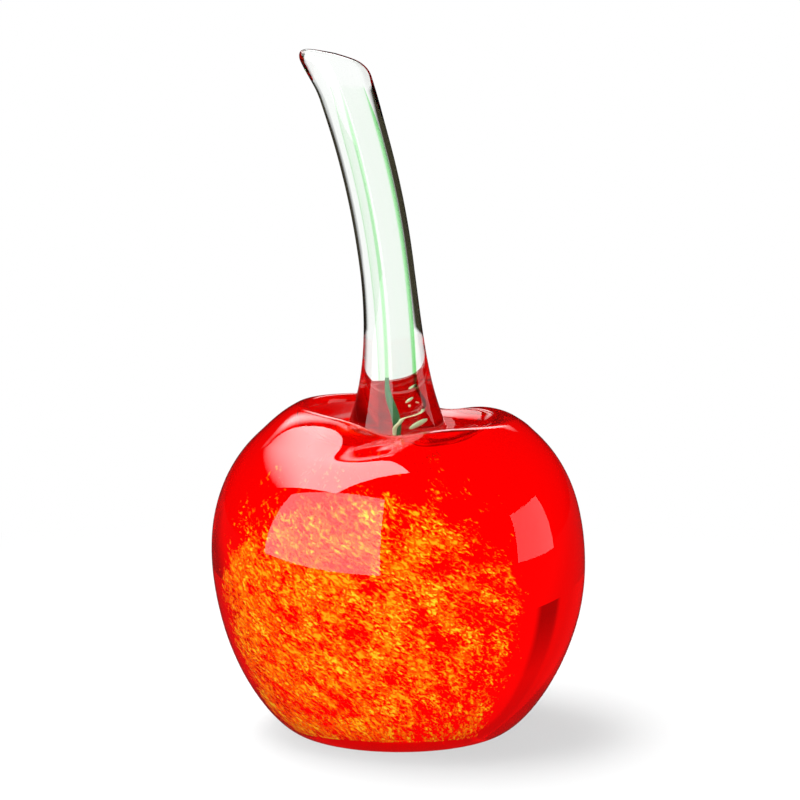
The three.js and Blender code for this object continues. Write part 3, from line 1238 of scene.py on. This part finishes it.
@dataclass
class Studio:
    """White table and backdrop with dark flags beside it, softboxes and the camera. Sizes in metres."""

    # Bright strips high behind the object: left, right, lower and upper edge in degrees.
    STRIPS = ((-31, -22, 22, 75), (-14, 22, 24, 42))

    LAMPS = (
        Softbox("left_window", (-0.880, -0.500, 0.491), (0.456, 0.883, 0.112), (1.632, 1.143), radiance=3.4,
                mirrored=True, object_only=True, roll=math.radians(-2.3)),
        Softbox("front_fill", (0.25, -1.1, 0.12), (-0.25, 1.1, -0.07), (1.6, 0.9), radiance=2.5,
                mirrored=False, object_only=True),
        Softbox("right_box", (0.762, 0.023, 0.189), (-0.965, -0.056, 0.257), (0.415, 0.338), radiance=1.3,
                mirrored=True),
        Softbox("ceiling_box", (-0.759, -0.008, 0.856), (-0.242, -0.409, -0.880), (1.259, 1.238),
                radiance=9.0, mirrored=True, roll=math.radians(60), fade=0.5),
        Softbox("overhead", (-0.25, 0.05, 0.85), (0.25, -0.05, -0.85), (0.8, 0.36), radiance=6.4,
                mirrored=False),
    )

    camera_place: Place = (0.0, -0.9, 0.23)
    camera_aim: Place = (0.0, 0.0, 0.0893)
    camera_angle: float = math.radians(13.341)
    floor_size: float = 8.0
    floor_drop: float = 0.0001
    floor_mirrored: float = 0.02
    shadow_near: float = 0.1
    shadow_far: float = 0.3
    paper: str = "F0F0F0"
    backdrop_left: float = math.radians(36)
    backdrop_right: float = math.radians(43)
    backdrop_top: float = math.radians(36)
    backdrop_corner: float = 0.3
    backdrop_edge: float = 0.05
    backdrop_white: float = 1.1
    gap_outer: float = 1.3
    gap_left: float = 0.4
    gap_right: float = 0.8
    gap_low: float = 0.05
    gap_high: float = 0.3
    gap_turn: float = 0.2
    room_dark: float = 0.006
    side_white: float = 0.98
    far_white: float = 2.0
    far_round: float = 0.55
    far_right: float = 0.4
    strip_white: float = 4.0
    flag_start: float = math.radians(48)
    flag_end: float = math.radians(64)
    flag_dark: float = 0.3
    flag_fade_start: float = math.radians(78)
    flag_fade_end: float = math.radians(86)
    dim_left_start: float = math.radians(-36)
    dim_left_end: float = math.radians(-46)
    camera_white: float = 1.0
    matt_fill: float = 0.7
    glass_bounces: int = 48
    see_through_bounces: int = 32

    def azimuth(self, tree: Tree, direction: Source) -> Source:
        """Adds the nodes for the angle of a direction from the line of sight, positive to the right.

        Args:
            tree: node tree of the world or the floor.
            direction: direction from the object.

        Returns:
            The angle in radians.
        """
        split = add_node(tree, "SeparateXYZ", {0: direction})
        away = add_node(tree, "Math", {0: split.outputs["Y"]}, operation="ABSOLUTE")
        return add_node(tree, "Math", {0: split.outputs["X"], 1: away}, operation="ARCTAN2")

    def panel(self, tree: Tree, direction: Source) -> tuple[Source, Source]:
        """Adds the nodes for the white backdrop panel with its rounded corners.

        Args:
            tree: node tree of the world.
            direction: direction from the object, of length 1.

        Returns:
            Share of the panel, and share of what lies beyond the dark gap round it.
        """
        azimuth = self.azimuth(tree, direction)
        split = add_node(tree, "SeparateXYZ", {0: direction})
        elevation = add_node(tree, "Math", {0: split.outputs["Z"]}, operation="ARCSINE")
        left, right, up = (
            add_node(tree, "Math", {0: angle, 1: edge}, operation="DIVIDE")
            for angle, edge in ((azimuth, -self.backdrop_left), (azimuth, self.backdrop_right),
                                (elevation, self.backdrop_top))
        )
        side = add_node(tree, "Math", {0: left, 1: right}, operation="MAXIMUM")
        reach = add_node(tree, "Math", {0: side, 1: up, 2: self.backdrop_corner}, operation="SMOOTH_MAX")
        soft = self.backdrop_edge
        within, beyond = (
            add_node(tree, "MapRange", {
                "Value": reach, "From Min": start, "From Max": end,
            }, interpolation_type="SMOOTHSTEP")
            for start, end in ((1 + soft, 1 - soft), (self.gap_outer - soft, self.gap_outer + soft))
        )
        return within, beyond

    def surround(self, tree: Tree, direction: Source) -> Source:
        """Adds the nodes for what stands round the object: a white panel, a dark gap, pale walls.

        Args:
            tree: node tree of the world.
            direction: direction from the object, of length 1.

        Returns:
            Brightness in that direction.
        """
        within, beyond = self.panel(tree, direction)
        split = add_node(tree, "SeparateXYZ", {0: direction})
        left_gap = add_node(tree, "MapRange", {
            "Value": split.outputs["Z"], "From Min": self.gap_low, "From Max": self.gap_high,
            "To Min": self.gap_left, "To Max": self.gap_right,
        })
        gap = add_node(tree, "MapRange", {
            "Value": split.outputs["X"], "From Min": -self.gap_turn, "From Max": self.gap_turn,
            "To Min": left_gap, "To Max": self.gap_right,
        })
        round_side, leftward = (
            add_node(tree, "MapRange", {
                "Value": split.outputs[axis], "From Min": start, "From Max": 0.0,
            })
            for axis, start in (("Y", self.far_round), ("X", self.far_right))
        )
        far_left = add_node(tree, "Math", {0: round_side, 1: leftward}, operation="MULTIPLY")
        wall_white = add_node(tree, "MapRange", {
            "Value": far_left, "To Min": self.side_white, "To Max": self.far_white,
        })
        walls = add_node(tree, "Mix", {SHARE: beyond, FIRST: gap, SECOND: wall_white})
        return add_node(tree, "Mix", {SHARE: within, FIRST: walls, SECOND: self.backdrop_white})

    def strips(self, tree: Tree, direction: Source) -> Source:
        """Adds the nodes for the bright strips high behind the object, which polished glass mirrors.

        Args:
            tree: node tree of the world.
            direction: direction from the object, of length 1.

        Returns:
            Brightness in that direction.
        """
        soft = self.backdrop_edge
        split = add_node(tree, "SeparateXYZ", {0: direction})
        turn = add_node(tree, "Math", {0: split.outputs["X"], 1: split.outputs["Y"]}, operation="ARCTAN2")
        rise = add_node(tree, "Math", {0: split.outputs["Z"]}, operation="ARCSINE")
        bright = None
        for left, right, low, high in self.STRIPS:
            share = None
            for angle, edge, sign in ((turn, left, 1), (turn, right, -1), (rise, low, 1), (rise, high, -1)):
                middle, reach = math.radians(edge), sign * soft
                side = add_node(tree, "MapRange", {
                    "Value": angle, "From Min": middle - reach, "From Max": middle + reach,
                })
                if share is None:
                    share = side
                else:
                    share = add_node(tree, "Math", {0: share, 1: side}, operation="MULTIPLY")
            if bright is None:
                bright = share
            else:
                bright = add_node(tree, "Math", {0: bright, 1: share}, operation="MAXIMUM")
        return add_node(tree, "MapRange", {
            "Value": bright, "To Min": self.room_dark, "To Max": self.strip_white,
        })

    def build_world(self) -> None:
        """Sets the world: white for the camera, the surround for glass, soft fill for matt surfaces."""
        world = bpy.data.worlds.new("studio_surround")
        world.use_nodes = True
        tree = world.node_tree
        tree.nodes.clear()
        direction = add_node(tree, "TexCoord").outputs["Generated"]
        path = add_node(tree, "LightPath")
        shown = self.matt_fill
        for ray, brightness in (("Is Glossy Ray", self.strips(tree, direction)),
                                ("Is Transmission Ray", self.surround(tree, direction)),
                                ("Is Camera Ray", self.camera_white)):
            shown = add_node(tree, "Mix", {SHARE: path.outputs[ray], FIRST: shown, SECOND: brightness})
        background = add_node(tree, "Background", {"Color": linear(WHITE), "Strength": shown})
        add_node(tree, "OutputWorld", {"Surface": background})
        bpy.context.scene.world = world

    def table(self, tree: Tree) -> tuple[Source, Source]:
        """Adds the nodes for the lit table as the glass shows it: white, dimmer at its sides.

        Args:
            tree: node tree of the floor.

        Returns:
            Distance from the object, and brightness there.
        """
        place = add_node(tree, "TexCoord")
        flat = add_node(tree, "VectorMath", {0: place.outputs["Object"], 1: (1, 1, 0)}, operation="MULTIPLY")
        reach = add_node(tree, "VectorMath", {0: flat}, operation="LENGTH")
        direction = add_node(tree, "VectorMath", {0: flat}, operation="NORMALIZE")
        azimuth = self.azimuth(tree, direction)
        flag, past_flag, left = (
            add_node(tree, "MapRange", {
                "Value": azimuth, "From Min": start, "From Max": end, "To Min": before, "To Max": after,
            })
            for start, end, before, after in (
                (self.flag_start, self.flag_end, self.backdrop_white, self.flag_dark),
                (self.flag_fade_start, self.flag_fade_end, 0.0, self.side_white),
                (self.dim_left_start, self.dim_left_end, self.backdrop_white, self.side_white),
            )
        )
        right = add_node(tree, "Math", {0: flag, 1: past_flag}, operation="MAXIMUM")
        top = add_node(tree, "Math", {0: right, 1: left}, operation="MINIMUM")
        return reach.outputs["Value"], top

    def paper_material(self) -> bpy.types.Material:
        """Builds the matt white paper: it keeps the shadow near the object and is white beyond it.

        Returns:
            The material.
        """
        material = blank_material("white_paper_sweep")
        tree = material.node_tree
        reach, shown = self.table(tree)
        far = add_node(tree, "MapRange", {
            "Value": reach, "From Min": self.shadow_near, "From Max": self.shadow_far,
        }, interpolation_type="SMOOTHSTEP")
        path = add_node(tree, "LightPath")
        through = add_node(tree, "Mix", {
            SHARE: path.outputs["Is Transmission Ray"], FIRST: self.floor_mirrored, SECOND: shown,
        })
        strength = add_node(tree, "Mix", {
            SHARE: path.outputs["Is Camera Ray"], FIRST: through, SECOND: self.camera_white,
        })
        paper = add_node(tree, "BsdfDiffuse", {"Color": linear(self.paper)})
        glow = add_node(tree, "Emission", {"Strength": strength})
        glass_sees = add_node(tree, "Math", {
            0: path.outputs["Is Glossy Ray"], 1: path.outputs["Is Transmission Ray"],
        }, operation="MAXIMUM")
        camera_sees = add_node(tree, "Math", {0: far, 1: path.outputs["Is Camera Ray"]}, operation="MULTIPLY")
        share = add_node(tree, "Math", {0: glass_sees, 1: camera_sees}, operation="MAXIMUM")
        surface = add_node(tree, "MixShader", {0: share, 1: paper, 2: glow})
        add_node(tree, "OutputMaterial", {"Surface": surface})
        return material

    def build_floor(self) -> None:
        """Makes the white floor."""
        mesh = bmesh.new()
        bmesh.ops.create_grid(mesh, x_segments=1, y_segments=1, size=self.floor_size)
        bmesh.ops.translate(mesh, vec=(0, 0, -self.floor_drop), verts=mesh.verts)
        data = bpy.data.meshes.new("floor")
        mesh.to_mesh(data)
        mesh.free()
        data.materials.append(self.paper_material())
        floor = bpy.data.objects.new("floor", data)
        bpy.context.scene.collection.objects.link(floor)

    def build_lamps(self, pieces: list[bpy.types.Object]) -> None:
        """Adds the softboxes.

        Args:
            pieces: pieces of the object, which some lamps light without the floor.
        """
        lit = bpy.data.collections.new("lit_by_window")
        for piece in pieces:
            lit.objects.link(piece)
        for lamp in self.LAMPS:
            lamp.build(lit)

    def build_camera(self) -> None:
        """Sets the camera at the viewing angle of the photograph."""
        camera = bpy.data.cameras.new("camera")
        camera.sensor_fit = "HORIZONTAL"
        camera.angle = self.camera_angle
        holder = bpy.data.objects.new("camera", camera)
        sight = Vector(self.camera_aim) - Vector(self.camera_place)
        holder.location = self.camera_place
        holder.rotation_euler = sight.to_track_quat("-Z", "Y").to_euler()
        bpy.context.scene.collection.objects.link(holder)
        bpy.context.scene.camera = holder

    def build(self, pieces: list[bpy.types.Object]) -> None:
        """Builds the whole studio round the object.

        Args:
            pieces: pieces of the object.
        """
        self.build_camera()
        self.build_world()
        self.build_floor()
        self.build_lamps(pieces)
        scene = bpy.context.scene
        scene.view_settings.view_transform = "Standard"
        scene.cycles.caustics_reflective = False
        scene.cycles.caustics_refractive = True
        scene.cycles.max_bounces = self.glass_bounces
        scene.cycles.transmission_bounces = self.glass_bounces
        scene.cycles.glossy_bounces = self.glass_bounces
        scene.cycles.transparent_max_bounces = self.see_through_bounces


def main() -> None:
    """Loads the frame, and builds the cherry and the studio."""
    logging.basicConfig(level=logging.INFO, format="%(name)s: %(message)s")
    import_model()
    pieces = [*Fruit().build(), *Stem().build()]
    for piece in pieces:
        LOG.info("%s: %d faces", piece.name, len(piece.data.polygons))
    Studio().build(pieces)


if __name__ == "__main__":
    main()
